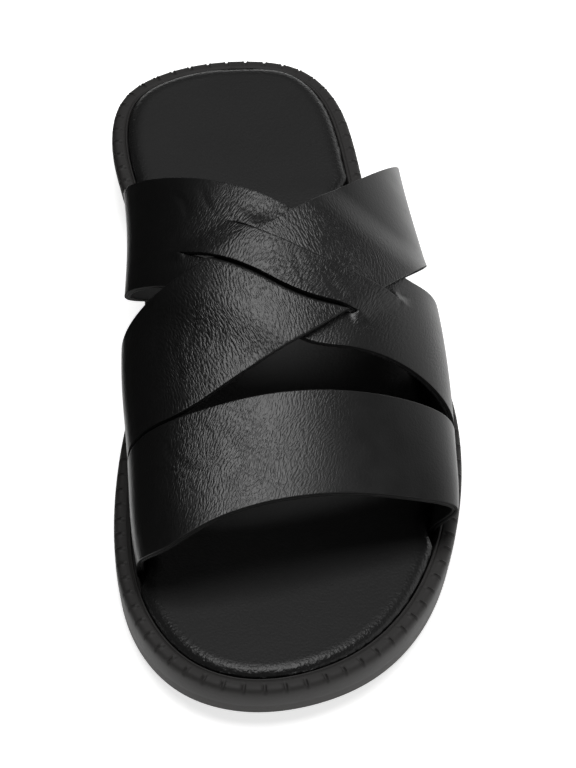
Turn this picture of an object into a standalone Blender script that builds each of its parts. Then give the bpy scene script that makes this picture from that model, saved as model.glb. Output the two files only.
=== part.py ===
"""Cross strap sandal, left foot: the solids of the part.

Metres, +Z up, the toe towards -Y and the little toe side towards +X. A station is a share of the sole's
length from the heel, 0, to the toe, 1. The tables give millimetres where their columns say so.
"""

import bmesh
import bpy
import numpy as np
from mathutils import Matrix, Vector

MM = 0.001

# Sizes of the whole shoe
SOLE_LENGTH = 288 * MM
BALL_WIDTH = 112 * MM
HEEL_WIDTH = 81 * MM
CLEARANCE = 0.3 * MM

# Upper
STRAP_THICKNESS = 2.4 * MM
STRAP_INSET = 0.6 * MM
STRAP_FOOT = 2.6 * MM
STRAP_ALONG, STRAP_ACROSS = 40, 6
OVER_STRIP = 1.6 * MM
UNDER_STRIP = 0.4 * MM
RAISED_STRIP = 2.0 * MM
STRIP_DIP = -1.0 * MM
RAMP = 0.16
SLIT_REAR, SLIT_FRONT = 0.66, 0.33

# Sole and footbed
RIM_WIDTH = 5.5 * MM
WELT_HEIGHT = 3.0 * MM
WELT_EDGE = 0.5 * MM
MIDSOLE_INSET = 0.6 * MM
OUTSOLE_EDGE = 0.8 * MM
FOOTBED_RISE = 2.6 * MM
FOOTBED_EDGE = 1.8 * MM
STRAP_ROOM = STRAP_THICKNESS + STRAP_INSET + 0.7 * MM
ARCH_LIFT = 4.5 * MM
TOE_SPRING = 4.6 * MM
HEEL_LIFT = 1.5 * MM
PLATE_ALONG, PLATE_ACROSS = 44, 6
WELT_AROUND = 120
END_SHARE = 0.012

# Tread
GROOVE_DEPTH = 1.8 * MM
GROOVE_MOUTH = 4.0 * MM
GROOVE_FLOOR = 2.6 * MM
GROOVE_MARGIN = 7.0 * MM
HEEL_GROOVES = (0.07, 0.11, 0.15, 0.19, 0.23)
FOREFOOT_GROOVES = (0.58, 0.615, 0.65, 0.685, 0.72, 0.755, 0.79, 0.825, 0.86, 0.895)

# Outline seen from above: station, share of the width that it follows (+ to the little toe side), that width
OUTLINE = (
    ("heel back", 0.000, 0.085, HEEL_WIDTH),
    ("heel back, lateral", 0.016, 0.310, HEEL_WIDTH),
    ("heel corner, lateral", 0.062, 0.440, HEEL_WIDTH),
    ("heel side, lateral", 0.140, 0.510, HEEL_WIDTH),
    ("arch, lateral", 0.300, 0.412, BALL_WIDTH),
    ("waist, lateral", 0.420, 0.487, BALL_WIDTH),
    ("ball, lateral", 0.560, 0.583, BALL_WIDTH),
    ("widest, lateral", 0.640, 0.592, BALL_WIDTH),
    ("little toe", 0.773, 0.543, BALL_WIDTH),
    ("fourth toe", 0.889, 0.428, BALL_WIDTH),
    ("third toe", 0.962, 0.262, BALL_WIDTH),
    ("toe tip, lateral", 0.994, 0.085, BALL_WIDTH),
    ("toe tip", 0.998, -0.070, BALL_WIDTH),
    ("big toe", 0.972, -0.215, BALL_WIDTH),
    ("big toe side", 0.900, -0.343, BALL_WIDTH),
    ("joint, medial", 0.760, -0.408, BALL_WIDTH),
    ("ball, medial", 0.620, -0.379, BALL_WIDTH),
    ("waist, medial", 0.430, -0.294, BALL_WIDTH),
    ("arch, medial", 0.300, -0.306, BALL_WIDTH),
    ("heel side, medial", 0.130, -0.500, HEEL_WIDTH),
    ("heel corner, medial", 0.056, -0.425, HEEL_WIDTH),
    ("heel back, medial", 0.013, -0.205, HEEL_WIDTH),
)

# Side view: station, rim height mm, outsole thickness mm, footbed cup mm
SIDE_VIEW = (
    (0.00, 20.0, 7.0, 0.4),
    (0.12, 19.8, 7.0, 1.4),
    (0.27, 18.6, 6.4, 1.2),
    (0.42, 15.8, 3.8, 0.6),
    (0.56, 12.8, 4.0, 0.8),
    (0.66, 11.7, 4.2, 1.0),
    (0.76, 11.8, 4.2, 0.9),
    (0.87, 13.2, 3.8, 0.6),
    (1.00, 15.0, 3.2, 0.3),
)

# How far the tread stands inside the rim, mm: the wall leans in towards the ground at the heel and waist
WALL_LEAN = ((0.00, 2.0), (0.10, 3.4), (0.22, 4.2), (0.34, 3.6), (0.46, 2.4), (0.60, 1.0), (1.00, 0.8))

# Room beside the footbed for the strap ends: station, lateral share, medial share
END_ROOM = (
    (0.218, 0.0, 0.0),
    (0.240, 1.0, 0.0),
    (0.246, 1.0, 0.0),
    (0.268, 1.0, 1.0),
    (0.774, 1.0, 1.0),
    (0.802, 0.0, 1.0),
    (0.824, 0.0, 1.0),
    (0.852, 0.0, 0.0),
)

# The last, as the outside of the straps, in mm: station; lateral side x, z; lateral shoulder x, z;
# crown x, z; medial shoulder x, z; medial side x, z
LAST = (
    (0.20, 50.0, 38.0, 42.0, 66.0, 4.0, 86.0, -31.5, 69.0, -39.3, 44.0),
    (0.30, 51.5, 37.0, 43.0, 64.0, 4.0, 83.0, -31.6, 66.5, -38.8, 43.0),
    (0.40, 55.8, 35.0, 45.0, 60.5, 4.0, 78.0, -31.0, 62.5, -37.7, 39.0),
    (0.50, 61.0, 32.0, 48.0, 54.5, 3.0, 72.5, -31.8, 57.5, -40.0, 35.0),
    (0.60, 62.8, 29.0, 49.5, 47.0, 2.0, 64.5, -33.2, 51.0, -42.1, 31.0),
    (0.70, 62.4, 26.0, 49.0, 39.5, 0.5, 54.5, -33.2, 44.0, -41.4, 28.0),
    (0.80, 60.0, 24.0, 46.5, 34.0, -1.0, 46.0, -32.3, 38.0, -40.8, 25.0),
    (0.90, 50.0, 22.0, 39.0, 29.5, -3.0, 40.0, -29.0, 34.0, -37.0, 23.0),
)

# Straps: share of the way round the last from the lateral foot to the medial foot; front edge station;
# rear edge station
FRONT_STRAP = (
    (0.00, 0.765, 0.664),
    (0.14, 0.784, 0.666),
    (0.33, 0.800, 0.679),
    (0.53, 0.822, 0.698),
    (0.71, 0.847, 0.7095),
    (0.82, 0.857, 0.706),
    (0.90, 0.842, 0.701),
    (1.00, 0.815, 0.692),
)
MEDIAL_STRAP = (
    (0.00, 0.656, 0.490),
    (0.11, 0.656, 0.500),
    (0.19, 0.640, 0.508),
    (0.27, 0.630, 0.510),
    (0.37, 0.631, 0.494),
    (0.46, 0.630, 0.472),
    (0.54, 0.601, 0.447),
    (0.62, 0.570, 0.419),
    (0.70, 0.540, 0.390),
    (0.78, 0.510, 0.357),
    (0.86, 0.476, 0.325),
    (0.93, 0.440, 0.304),
    (1.00, 0.405, 0.288),
)
LATERAL_STRAP = (
    (0.00, 0.398, 0.255),
    (0.10, 0.424, 0.276),
    (0.17, 0.459, 0.304),
    (0.24, 0.507, 0.346),
    (0.33, 0.564, 0.403),
    (0.43, 0.618, 0.459),
    (0.52, 0.653, 0.502),
    (0.61, 0.682, 0.531),
    (0.71, 0.704, 0.549),
    (0.80, 0.702, 0.556),
    (0.90, 0.697, 0.555),
    (1.00, 0.688, 0.549),
)
# The two slits of the medial strap, as shares of the way round: slit, lateral end, medial end
SLITS = {"rear": (0.268, 0.582), "front": (0.351, 0.662)}


def spline(at, values, wanted, closed=False):
    """Natural cubic through rows of values, or a closed one whose last row repeats its first."""
    at = np.asarray(at, float)
    values = np.asarray(values, float).reshape(len(at), -1)
    wanted = np.atleast_1d(np.asarray(wanted, float))
    gap = np.diff(at)
    slope = np.diff(values, axis=0) / gap[:, None]
    count = len(at) - closed
    matrix = np.eye(count)
    right = np.zeros((count, values.shape[1]))
    for i in range(0 if closed else 1, count if closed else count - 1):
        before = gap[i - 1] if i or not closed else gap[-1]
        slope_before = slope[i - 1] if i or not closed else slope[-1]
        matrix[i] = 0
        matrix[i, (i - 1) % count] += before
        matrix[i, i] += 2 * (before + gap[i])
        matrix[i, (i + 1) % count] += gap[i]
        right[i] = 6 * (slope[i] - slope_before)
    bend = np.linalg.solve(matrix, right)
    if closed:
        bend = np.vstack([bend, bend[:1]])
    i = np.clip(np.searchsorted(at, wanted, side="right") - 1, 0, len(at) - 2)
    h = gap[i][:, None]
    left = (at[i + 1] - wanted)[:, None] / h
    near = 1 - left
    bent = (left**3 - left) * bend[i] + (near**3 - near) * bend[i + 1]
    return left * values[i] + near * values[i + 1] + bent * h**2 / 6


def table(rows, column, station):
    rows = np.array(rows)
    return float(spline(rows[:, 0], rows[:, column], station)[0, 0])


def smooth(share):
    share = np.clip(share, 0.0, 1.0)
    return share * share * (3 - 2 * share)


def y_of(station):
    return (0.5 - station) * SOLE_LENGTH


def station_of(y):
    return 0.5 - y / SOLE_LENGTH


def outline(inset=0.0, room=0.0, lean=0.0, count=1200):
    """Points round the sole, moved inwards: by inset, by room where the straps end, by a share of the lean."""
    rows = [(across * width, y_of(station)) for _, station, across, width in OUTLINE]
    points = np.array(rows + rows[:1])
    step = np.linalg.norm(np.diff(points, axis=0), axis=1)
    length = np.concatenate([[0], np.cumsum(step)])
    points = spline(length, points, np.linspace(0, length[-1], count, endpoint=False), closed=True)
    ahead = np.roll(points, -1, axis=0) - np.roll(points, 1, axis=0)
    ahead /= np.linalg.norm(ahead, axis=1)[:, None]
    inward = np.stack([ahead[:, 1], -ahead[:, 0]], axis=1)
    if np.sum(inward * points) > 0:
        inward = -inward
    ends = np.array(END_ROOM)
    side = np.where(points[:, 0] > 0, 1, 2)
    shares = [np.interp(station_of(p[1]), ends[:, 0], ends[:, s]) for p, s in zip(points, side)]
    leans = np.array(WALL_LEAN) * (1.0, MM)
    lean_in = lean * np.interp(station_of(points[:, 1]), leans[:, 0], leans[:, 1])
    return points + inward * (inset + room * np.array(shares) + lean_in)[:, None]


def across_at(edge, y):
    """Where the outline crosses this y: its medial x and its lateral x."""
    after = np.roll(edge, -1, axis=0)
    share = (y - edge[:, 1]) / (after[:, 1] - edge[:, 1] + 1e-15)
    hit = (share >= 0) & (share < 1)
    x = edge[hit, 0] + share[hit] * (after[hit, 0] - edge[hit, 0])
    return x.min(), x.max()


def ground(station):
    """Height of the tread: flat under the heel and the forefoot, lifted at the arch and the toe."""
    arch = smooth((station - 0.28) / 0.08) * smooth((0.58 - station) / 0.16)
    toe = max(0.0, (station - 0.80) / 0.20) ** 1.7
    heel = max(0.0, (0.04 - station) / 0.04) ** 2
    return ARCH_LIFT * arch + TOE_SPRING * toe + HEEL_LIFT * heel


def rim_height(station):
    return table(SIDE_VIEW, 1, station) * MM


def welt_bottom(station):
    return rim_height(station) - WELT_HEIGHT


def outsole_top(station):
    return ground(station) + table(SIDE_VIEW, 2, station) * MM


def footbed_top(station, across):
    cup = table(SIDE_VIEW, 3, station) * MM
    return rim_height(station) + FOOTBED_RISE - cup * (1 - (2 * across - 1) ** 2)


def material(name, colour, roughness):
    made = bpy.data.materials.new(name)
    made.use_nodes = True
    shader = made.node_tree.nodes["Principled BSDF"]
    shader.inputs["Base Color"].default_value = (*colour, 1.0)
    shader.inputs["Roughness"].default_value = roughness
    return made


def add_object(name, bm, finish, collection):
    mesh = bpy.data.meshes.new(name)
    bm.to_mesh(mesh)
    bm.free()
    made = bpy.data.objects.new(name, mesh)
    mesh.materials.append(finish)
    collection.objects.link(made)
    return made


def within(edge, across, along, height):
    """The point at these shares of a layer's width and length, at the height that its station gives."""
    turn = END_SHARE + (1 - 2 * END_SHARE) * along
    back, front = edge[:, 1].max(), edge[:, 1].min()
    y = back + (front - back) * (0.5 - 0.5 * np.cos(np.pi * turn))
    medial, lateral = across_at(edge, y)
    return medial + (lateral - medial) * across, y, height(station_of(y), across)


def plate(name, upper, lower, top, bottom, finish, edge_bevel=0.0, bevel_below=False):
    """One layer of the sole, from an upper to a lower outline, between heights that follow the station."""
    bm = bmesh.new()
    bmesh.ops.create_grid(bm, x_segments=PLATE_ACROSS, y_segments=PLATE_ALONG, size=0.5)
    below = bmesh.ops.extrude_face_region(bm, geom=bm.faces[:])["geom"]
    below = {vert for vert in below if isinstance(vert, bmesh.types.BMVert)}
    for vert in bm.verts:
        edge, height = (lower, bottom) if vert in below else (upper, top)
        vert.co = within(edge, vert.co.x + 0.5, vert.co.y + 0.5, height)
    bmesh.ops.recalc_face_normals(bm, faces=bm.faces[:])
    if edge_bevel:
        level = -1 if bevel_below else 1
        rim = [e for e in bm.edges if is_corner(e, level)]
        bmesh.ops.bevel(
            bm, geom=rim, offset=edge_bevel, segments=2, profile=0.5, affect="EDGES", clamp_overlap=True
        )
    return add_object(name, bm, finish, bpy.context.scene.collection)


def is_corner(edge, level):
    """An edge between a side wall and the top, level 1, or the bottom, level -1."""
    if len(edge.link_faces) != 2:
        return False
    ups = sorted(face.normal.z * level for face in edge.link_faces)
    return ups[0] < 0.5 < ups[1]


def welt(name, finish):
    """The rim round the footbed, as a ring that follows the outline."""
    outer, inner = outline(), outline(RIM_WIDTH)
    bm = bmesh.new()
    bmesh.ops.create_grid(bm, x_segments=WELT_AROUND, y_segments=1, size=0.5)
    for vert in bm.verts:
        place = round((vert.co.x + 0.5) * len(outer)) % len(outer)
        point = (outer if vert.co.y > 0 else inner)[place]
        vert.co = (point[0], point[1], rim_height(station_of(point[1])))
    bmesh.ops.remove_doubles(bm, verts=bm.verts[:], dist=1e-6)
    below = bmesh.ops.extrude_face_region(bm, geom=bm.faces[:])
    for vert in below["geom"]:
        if isinstance(vert, bmesh.types.BMVert):
            vert.co.z = welt_bottom(station_of(vert.co.y)) + CLEARANCE
    bmesh.ops.recalc_face_normals(bm, faces=bm.faces[:])
    rim = [e for e in bm.edges if is_corner(e, 1)]
    bmesh.ops.bevel(
        bm, geom=rim, offset=WELT_EDGE, segments=1, profile=0.5, affect="EDGES", clamp_overlap=True
    )
    return add_object(name, bm, finish, bpy.context.scene.collection)


STRAP_EDGE = outline(RIM_WIDTH + STRAP_INSET)


def last_section(station, count=97):
    """The last's outline at a station, lateral foot to medial foot, evenly spaced: x and z."""
    rows = np.array(LAST)
    cut = spline(rows[:, 0], rows[:, 1:] * MM, station)[0].reshape(5, 2)
    medial, lateral = across_at(STRAP_EDGE, y_of(station))
    rim = rim_height(station)
    foot = [(lateral, rim - STRAP_FOOT), (lateral + 0.05 * MM, rim + 0.2 * MM)]
    other = [(medial - 0.05 * MM, rim + 0.2 * MM), (medial, rim - STRAP_FOOT)]
    points = np.array(foot + list(map(tuple, cut)) + other)
    step = np.linalg.norm(np.diff(points, axis=0), axis=1) ** 0.7
    at = np.concatenate([[0], np.cumsum(step)])
    curve = spline(at, points, np.linspace(0, at[-1], 3 * count))
    length = np.concatenate([[0], np.cumsum(np.linalg.norm(np.diff(curve, axis=0), axis=1))])
    even = np.linspace(0, length[-1], count)
    return np.stack([np.interp(even, length, curve[:, 0]), np.interp(even, length, curve[:, 1])], 1)


LAST_STATIONS = np.linspace(0.24, 0.88, 65)
LAST_GRID = np.array([last_section(station) for station in LAST_STATIONS])


def on_last(around, station):
    row = np.clip((station - LAST_STATIONS[0]) / (LAST_STATIONS[1] - LAST_STATIONS[0]), 0, 63.999)
    col = np.clip(around, 0, 1) * (LAST_GRID.shape[1] - 1)
    i, j = int(row), min(int(col), LAST_GRID.shape[1] - 2)
    u, v = row - i, col - j
    near = LAST_GRID[i, j] * (1 - v) + LAST_GRID[i, j + 1] * v
    far = LAST_GRID[i + 1, j] * (1 - v) + LAST_GRID[i + 1, j + 1] * v
    x, z = near * (1 - u) + far * u
    return Vector((x, y_of(station), z))


def off_last(around, station, lift):
    """A point of the last moved out along its normal."""
    place = on_last(around, station)
    if not lift:
        return place
    along = on_last(around, station + 0.004) - on_last(around, station - 0.004)
    round_it = on_last(around + 0.006, station) - on_last(around - 0.006, station)
    normal = along.cross(round_it).normalized()
    if normal.z < 0 or (normal.z < 0.2 and normal.x * (around - 0.5) > 0):
        normal = -normal
    return place + normal * lift


def strap_share(rows, around, station):
    """How far across a strap a station lies: 0 at its front edge, 1 at its rear edge."""
    front, rear = table(rows, 1, around), table(rows, 2, around)
    return (front - station) / (front - rear)


def crossing_lift(around, station):
    """The lateral strap rides over the outer strips of the medial one and dips under its middle strip."""
    share = strap_share(MEDIAL_STRAP, around, station)
    over = smooth((1.02 + RAMP - share) / RAMP) * smooth((share + 0.02 + RAMP) / RAMP)
    under = smooth((SLIT_REAR + 0.02 - share) / 0.1) * smooth((share - SLIT_FRONT + 0.02) / 0.1)
    return over * (OVER_STRIP + (UNDER_STRIP - OVER_STRIP) * under)


def strip_lift(around, station):
    """The middle strip stands on the lateral strap, and sinks into its own strap beyond the slits."""
    share = strap_share(MEDIAL_STRAP, around, station)
    mix = np.clip((share - SLIT_FRONT) / (SLIT_REAR - SLIT_FRONT), 0, 1)
    lateral = SLITS["front"][0] + mix * (SLITS["rear"][0] - SLITS["front"][0])
    medial = SLITS["front"][1] + mix * (SLITS["rear"][1] - SLITS["front"][1])
    raised = smooth((around - lateral + 0.02) / 0.04) * smooth((medial + 0.02 - around) / 0.04)
    return STRIP_DIP + (RAISED_STRIP - STRIP_DIP) * raised


def band(name, rows, finish, collection, lift=None, part=(0.0, 1.0), width=(0.0, 1.0), segments=None):
    """A strap laid on the last as a sheet, then given its thickness inwards."""
    along, across = segments or (STRAP_ALONG, STRAP_ACROSS)
    bm = bmesh.new()
    bmesh.ops.create_grid(bm, x_segments=along, y_segments=across, size=0.5)
    for vert in bm.verts:
        around = part[0] + (part[1] - part[0]) * (vert.co.x + 0.5)
        share = width[0] + (width[1] - width[0]) * (vert.co.y + 0.5)
        front, rear = table(rows, 1, around), table(rows, 2, around)
        station = front + (rear - front) * share
        vert.co = off_last(around, station, lift(around, station) if lift else 0.0)
    bmesh.ops.recalc_face_normals(bm, faces=bm.faces[:])
    middle = max(bm.faces, key=lambda face: face.calc_center_median().z)
    if middle.normal.z < 0:
        bmesh.ops.reverse_faces(bm, faces=bm.faces[:])
    made = add_object(name, bm, finish, collection)
    wall = made.modifiers.new("thickness", "SOLIDIFY")
    wall.thickness = STRAP_THICKNESS
    wall.offset = -1.0
    wall.use_even_offset = True
    return made


def hide_helper(helper):
    helper.hide_render = True
    helper.display_type = "WIRE"


def join(base, helper, operation, name):
    step = base.modifiers.new(name, "BOOLEAN")
    step.operation = operation
    step.solver = "EXACT"
    step.object = helper


def groove_cutter(station, edge, finish, collection):
    """A cross groove with drafted sides that stops short of the edge of the tread."""
    y = y_of(station)
    reach = [across_at(edge, y + side * GROOVE_MOUTH / 2) for side in (-1, 1)]
    medial = max(pair[0] for pair in reach) + GROOVE_MARGIN
    lateral = min(pair[1] for pair in reach) - GROOVE_MARGIN
    floor = max(ground(station + side * GROOVE_MOUTH / 2 / SOLE_LENGTH) for side in (-1, 1))
    bm = bmesh.new()
    bmesh.ops.create_cube(bm, size=1.0)
    for vert in bm.verts:
        top = vert.co.z > 0
        width = GROOVE_FLOOR if top else GROOVE_MOUTH
        draft = (GROOVE_MOUTH - GROOVE_FLOOR) / 2 if top else 0.0
        x = lateral - draft if vert.co.x > 0 else medial + draft
        vert.co = (x, y + vert.co.y * width, floor + GROOVE_DEPTH if top else -1.0 * MM)
    bmesh.ops.recalc_face_normals(bm, faces=bm.faces[:])
    return add_object(f"groove_{round(station * 1000):03d}", bm, finish, collection)


def main():
    for item in list(bpy.data.objects):
        bpy.data.objects.remove(item, do_unlink=True)
    scene = bpy.context.scene.collection
    helpers = bpy.data.collections.new("helpers")
    scene.children.link(helpers)

    rubber = material("outsole_rubber", (0.018, 0.017, 0.016), 0.62)
    foam = material("midsole_foam", (0.022, 0.020, 0.019), 0.66)
    rim = material("welt_rubber", (0.030, 0.025, 0.022), 0.55)
    lining = material("insole_leather", (0.024, 0.024, 0.024), 0.5)
    leather = material("strap_leather", (0.014, 0.014, 0.014), 0.4)

    full = outline()
    tread = outline(lean=1.0)
    outsole = plate(
        "outsole",
        outline(lean=0.5),
        tread,
        lambda s, a: outsole_top(s),
        lambda s, a: ground(s),
        rubber,
        OUTSOLE_EDGE,
        True,
    )
    for station in HEEL_GROOVES + FOREFOOT_GROOVES:
        cutter = groove_cutter(station, tread, rubber, helpers)
        hide_helper(cutter)
        join(outsole, cutter, "DIFFERENCE", cutter.name)
    plate(
        "midsole",
        outline(MIDSOLE_INSET, lean=0.1),
        outline(MIDSOLE_INSET, lean=0.5),
        lambda s, a: welt_bottom(s),
        lambda s, a: outsole_top(s) + CLEARANCE,
        foam,
    )
    welt("welt", rim)
    plate(
        "insole",
        outline(RIM_WIDTH + CLEARANCE, STRAP_ROOM),
        outline(RIM_WIDTH + CLEARANCE, STRAP_ROOM),
        footbed_top,
        lambda s, a: welt_bottom(s) + CLEARANCE,
        lining,
        FOOTBED_EDGE,
    )

    band("front_strap", FRONT_STRAP, leather, scene)
    cross = band("cross_straps", MEDIAL_STRAP, leather, scene)
    lateral = band("lateral_strap", LATERAL_STRAP, leather, helpers, crossing_lift, segments=(48, 8))
    strip = band(
        "middle_strip",
        MEDIAL_STRAP,
        leather,
        helpers,
        strip_lift,
        part=(SLITS["rear"][0] - 0.045, SLITS["front"][1] + 0.045),
        width=(SLIT_FRONT, SLIT_REAR),
        segments=(30, 3),
    )
    for helper in (lateral, strip):
        hide_helper(helper)
        join(cross, helper, "UNION", helper.name)

    middle = (full[:, 0].min() + full[:, 0].max()) / 2
    for item in bpy.data.objects:
        item.data.transform(Matrix.Translation((-middle, 0.0, 0.0)))


main()
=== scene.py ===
"""Looks of the cross strap sandal: leather straps, padded footbed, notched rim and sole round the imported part.

Metres, +Z up, the toe towards -Y and the little toe side towards +X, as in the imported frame. A station is a
share of the sole's length from the heel, 0, to the toe, 1. Around is the share of the way over the foot from
the little toe side, 0, to the big toe side, 1.
"""

import bmesh
import bpy
import numpy as np
from bpy.props import FloatProperty, FloatVectorProperty, IntProperty, PointerProperty
from mathutils import Matrix, Vector


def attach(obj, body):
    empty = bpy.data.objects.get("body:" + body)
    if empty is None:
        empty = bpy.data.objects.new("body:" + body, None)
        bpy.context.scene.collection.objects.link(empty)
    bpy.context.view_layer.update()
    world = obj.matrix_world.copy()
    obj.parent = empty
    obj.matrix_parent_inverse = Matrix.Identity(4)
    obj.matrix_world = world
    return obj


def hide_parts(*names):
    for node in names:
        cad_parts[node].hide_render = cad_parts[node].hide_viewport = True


bl_info = {
    "name": "Cross Strap Sandal",
    "version": (1, 0, 0),
    "blender": (4, 5, 0),
    "location": "View3D > Sidebar > Sandal",
    "description": "Builds the pieces, finishes and studio of a woven cross strap sandal",
    "category": "Object",
}

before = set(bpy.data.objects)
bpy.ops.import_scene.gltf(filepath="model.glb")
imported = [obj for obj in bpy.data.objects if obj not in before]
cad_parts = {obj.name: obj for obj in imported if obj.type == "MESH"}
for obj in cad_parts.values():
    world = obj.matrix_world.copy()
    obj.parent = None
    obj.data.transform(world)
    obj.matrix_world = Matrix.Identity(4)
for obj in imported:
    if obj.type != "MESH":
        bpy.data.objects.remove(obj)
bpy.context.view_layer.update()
MM = 0.001

# Sizes that the solids share. The midsole stands nearer the rim here
SOLE_LENGTH = 288 * MM
BALL_WIDTH = 112 * MM
HEEL_WIDTH = 81 * MM
RIM_WIDTH = 5.5 * MM
WELT_HEIGHT = 3.0 * MM
MIDSOLE_INSET = 0.15 * MM
MIDSOLE_BULGE = 0.20 * MM
CLEARANCE = 0.3 * MM
STRAP_INSET = 0.6 * MM
STRAP_FOOT = 2.6 * MM
STRAP_ROOM = 3.7 * MM
FOOTBED_GAP = 0.15 * MM
FOOTBED_RISE = 2.6 * MM
ARCH_LIFT = 4.5 * MM
TOE_SPRING = 4.6 * MM
HEEL_LIFT = 1.5 * MM
END_SHARE = 0.006

# Where the tread leaves the ground, as stations, none to full: the arch's two ends, the toe's and the heel's
ARCH_ENDS = ((0.28, 0.36), (0.58, 0.42))
TOE_FROM = 0.80
TOE_CURVE = 1.7
HEEL_FROM = 0.04

# Tread grooves
GROOVE_DEPTH = 1.8 * MM
GROOVE_MOUTH = 4.0 * MM
GROOVE_FLOOR = 2.6 * MM
GROOVE_MARGIN = 7.0 * MM
GROOVE_CORNER = 1.0 * MM
GROOVE_START = -1.0 * MM
HEEL_GROOVES = (0.07, 0.11, 0.15, 0.19, 0.23)
FOREFOOT_GROOVES = (0.58, 0.615, 0.65, 0.685, 0.72, 0.755, 0.79, 0.825, 0.86, 0.895)

# Outline seen from above: station, share of the width that it follows (+ to the little toe side), that width.
# Its toe rows follow the photograph more closely than those of the solids
OUTLINE = (
    (0.000, 0.085, HEEL_WIDTH),
    (0.016, 0.310, HEEL_WIDTH),
    (0.062, 0.440, HEEL_WIDTH),
    (0.140, 0.510, HEEL_WIDTH),
    (0.300, 0.412, BALL_WIDTH),
    (0.420, 0.487, BALL_WIDTH),
    (0.560, 0.583, BALL_WIDTH),
    (0.640, 0.592, BALL_WIDTH),
    (0.773, 0.543, BALL_WIDTH),
    (0.889, 0.428, BALL_WIDTH),
    (0.965, 0.262, BALL_WIDTH),
    (0.999, 0.085, BALL_WIDTH),
    (1.0045, -0.070, BALL_WIDTH),
    (0.981, -0.222, BALL_WIDTH),
    (0.905, -0.359, BALL_WIDTH),
    (0.760, -0.413, BALL_WIDTH),
    (0.620, -0.379, BALL_WIDTH),
    (0.430, -0.294, BALL_WIDTH),
    (0.300, -0.306, BALL_WIDTH),
    (0.130, -0.500, HEEL_WIDTH),
    (0.056, -0.425, HEEL_WIDTH),
    (0.013, -0.205, HEEL_WIDTH),
)

# Side view: station, rim height mm, outsole thickness mm, footbed cup mm
SIDE_VIEW = (
    (0.00, 20.0, 7.0, 0.4),
    (0.12, 19.8, 7.0, 1.4),
    (0.27, 18.6, 6.4, 1.2),
    (0.42, 15.8, 3.8, 0.6),
    (0.56, 12.8, 4.0, 0.8),
    (0.66, 11.7, 4.2, 1.0),
    (0.76, 11.8, 4.2, 0.9),
    (0.87, 13.2, 3.8, 0.6),
    (1.00, 15.0, 3.2, 0.3),
)

# How far the tread stands inside the rim, mm
WALL_LEAN = ((0.00, 2.0), (0.10, 3.4), (0.22, 4.2), (0.34, 3.6), (0.46, 2.4), (0.60, 1.0), (1.00, 0.8))

# Room beside the footbed for the strap ends: station, little toe side share, big toe side share
END_ROOM = (
    (0.218, 0.0, 0.0),
    (0.240, 1.0, 0.0),
    (0.246, 1.0, 0.0),
    (0.268, 1.0, 1.0),
    (0.774, 1.0, 1.0),
    (0.802, 0.0, 1.0),
    (0.824, 0.0, 1.0),
    (0.852, 0.0, 0.0),
)

# The last, as the outside of the straps, in mm: station; little toe side x, z; its shoulder x, z;
# crown x, z; big toe shoulder x, z; big toe side x, z
LAST = (
    (0.20, 50.0, 38.0, 42.0, 66.0, 4.0, 86.0, -31.5, 69.0, -39.3, 44.0),
    (0.30, 51.5, 37.0, 43.0, 64.0, 4.0, 83.0, -31.6, 66.5, -38.8, 43.0),
    (0.40, 55.8, 35.0, 45.0, 60.5, 4.0, 78.0, -31.0, 62.5, -37.7, 39.0),
    (0.50, 61.0, 32.0, 48.0, 54.5, 3.0, 72.5, -31.8, 57.5, -40.0, 35.0),
    (0.60, 62.8, 29.0, 49.5, 47.0, 2.0, 64.5, -33.2, 51.0, -42.1, 31.0),
    (0.70, 62.4, 26.0, 49.0, 39.5, 0.5, 54.5, -33.2, 44.0, -41.4, 28.0),
    (0.80, 60.0, 24.0, 46.5, 34.0, -1.0, 46.0, -32.3, 38.0, -40.8, 25.0),
    (0.90, 50.0, 22.0, 39.0, 29.5, -3.0, 40.0, -29.0, 34.0, -37.0, 23.0),
)

# Straps: around, front edge station, rear edge station
FRONT_STRAP = (
    (0.00, 0.765, 0.664),
    (0.14, 0.784, 0.666),
    (0.33, 0.800, 0.679),
    (0.53, 0.822, 0.698),
    (0.71, 0.847, 0.7095),
    (0.82, 0.857, 0.706),
    (0.90, 0.842, 0.701),
    (1.00, 0.815, 0.692),
)
MEDIAL_STRAP = (
    (0.00, 0.656, 0.490),
    (0.11, 0.656, 0.500),
    (0.19, 0.640, 0.508),
    (0.27, 0.630, 0.510),
    (0.37, 0.631, 0.494),
    (0.46, 0.630, 0.472),
    (0.54, 0.601, 0.447),
    (0.62, 0.570, 0.419),
    (0.70, 0.540, 0.390),
    (0.78, 0.510, 0.357),
    (0.86, 0.476, 0.325),
    (0.93, 0.440, 0.304),
    (1.00, 0.405, 0.288),
)
LATERAL_STRAP = (
    (0.00, 0.398, 0.255),
    (0.10, 0.424, 0.276),
    (0.17, 0.459, 0.304),
    (0.24, 0.507, 0.346),
    (0.33, 0.564, 0.403),
    (0.43, 0.618, 0.459),
    (0.52, 0.653, 0.502),
    (0.61, 0.682, 0.531),
    (0.71, 0.704, 0.549),
    (0.80, 0.702, 0.556),
    (0.90, 0.697, 0.555),
    (1.00, 0.688, 0.549),
)

# The weave: the medial strap's two slits, as the share of its width, the little toe end and the big toe end
FRONT_SLIT = (0.33, 0.351, 0.674)
REAR_SLIT = (0.66, 0.268, 0.582)
REAR_OPEN = 0.48
FRONT_BOW = ((0.33, 0.0), (0.40, -0.014), (0.50, -0.040), (0.60, -0.042), (0.68, -0.028), (0.74, 0.0))
OVER_LIFT = 1.75 * MM
UNDER_LIFT = -0.15 * MM
STRIP_LIFT = (1.95 * MM, 1.78 * MM)
PRESSED = -0.80 * MM
EDGE_CURL = 1.4 * MM
SHEET_GAP = 0.05 * MM
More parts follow.
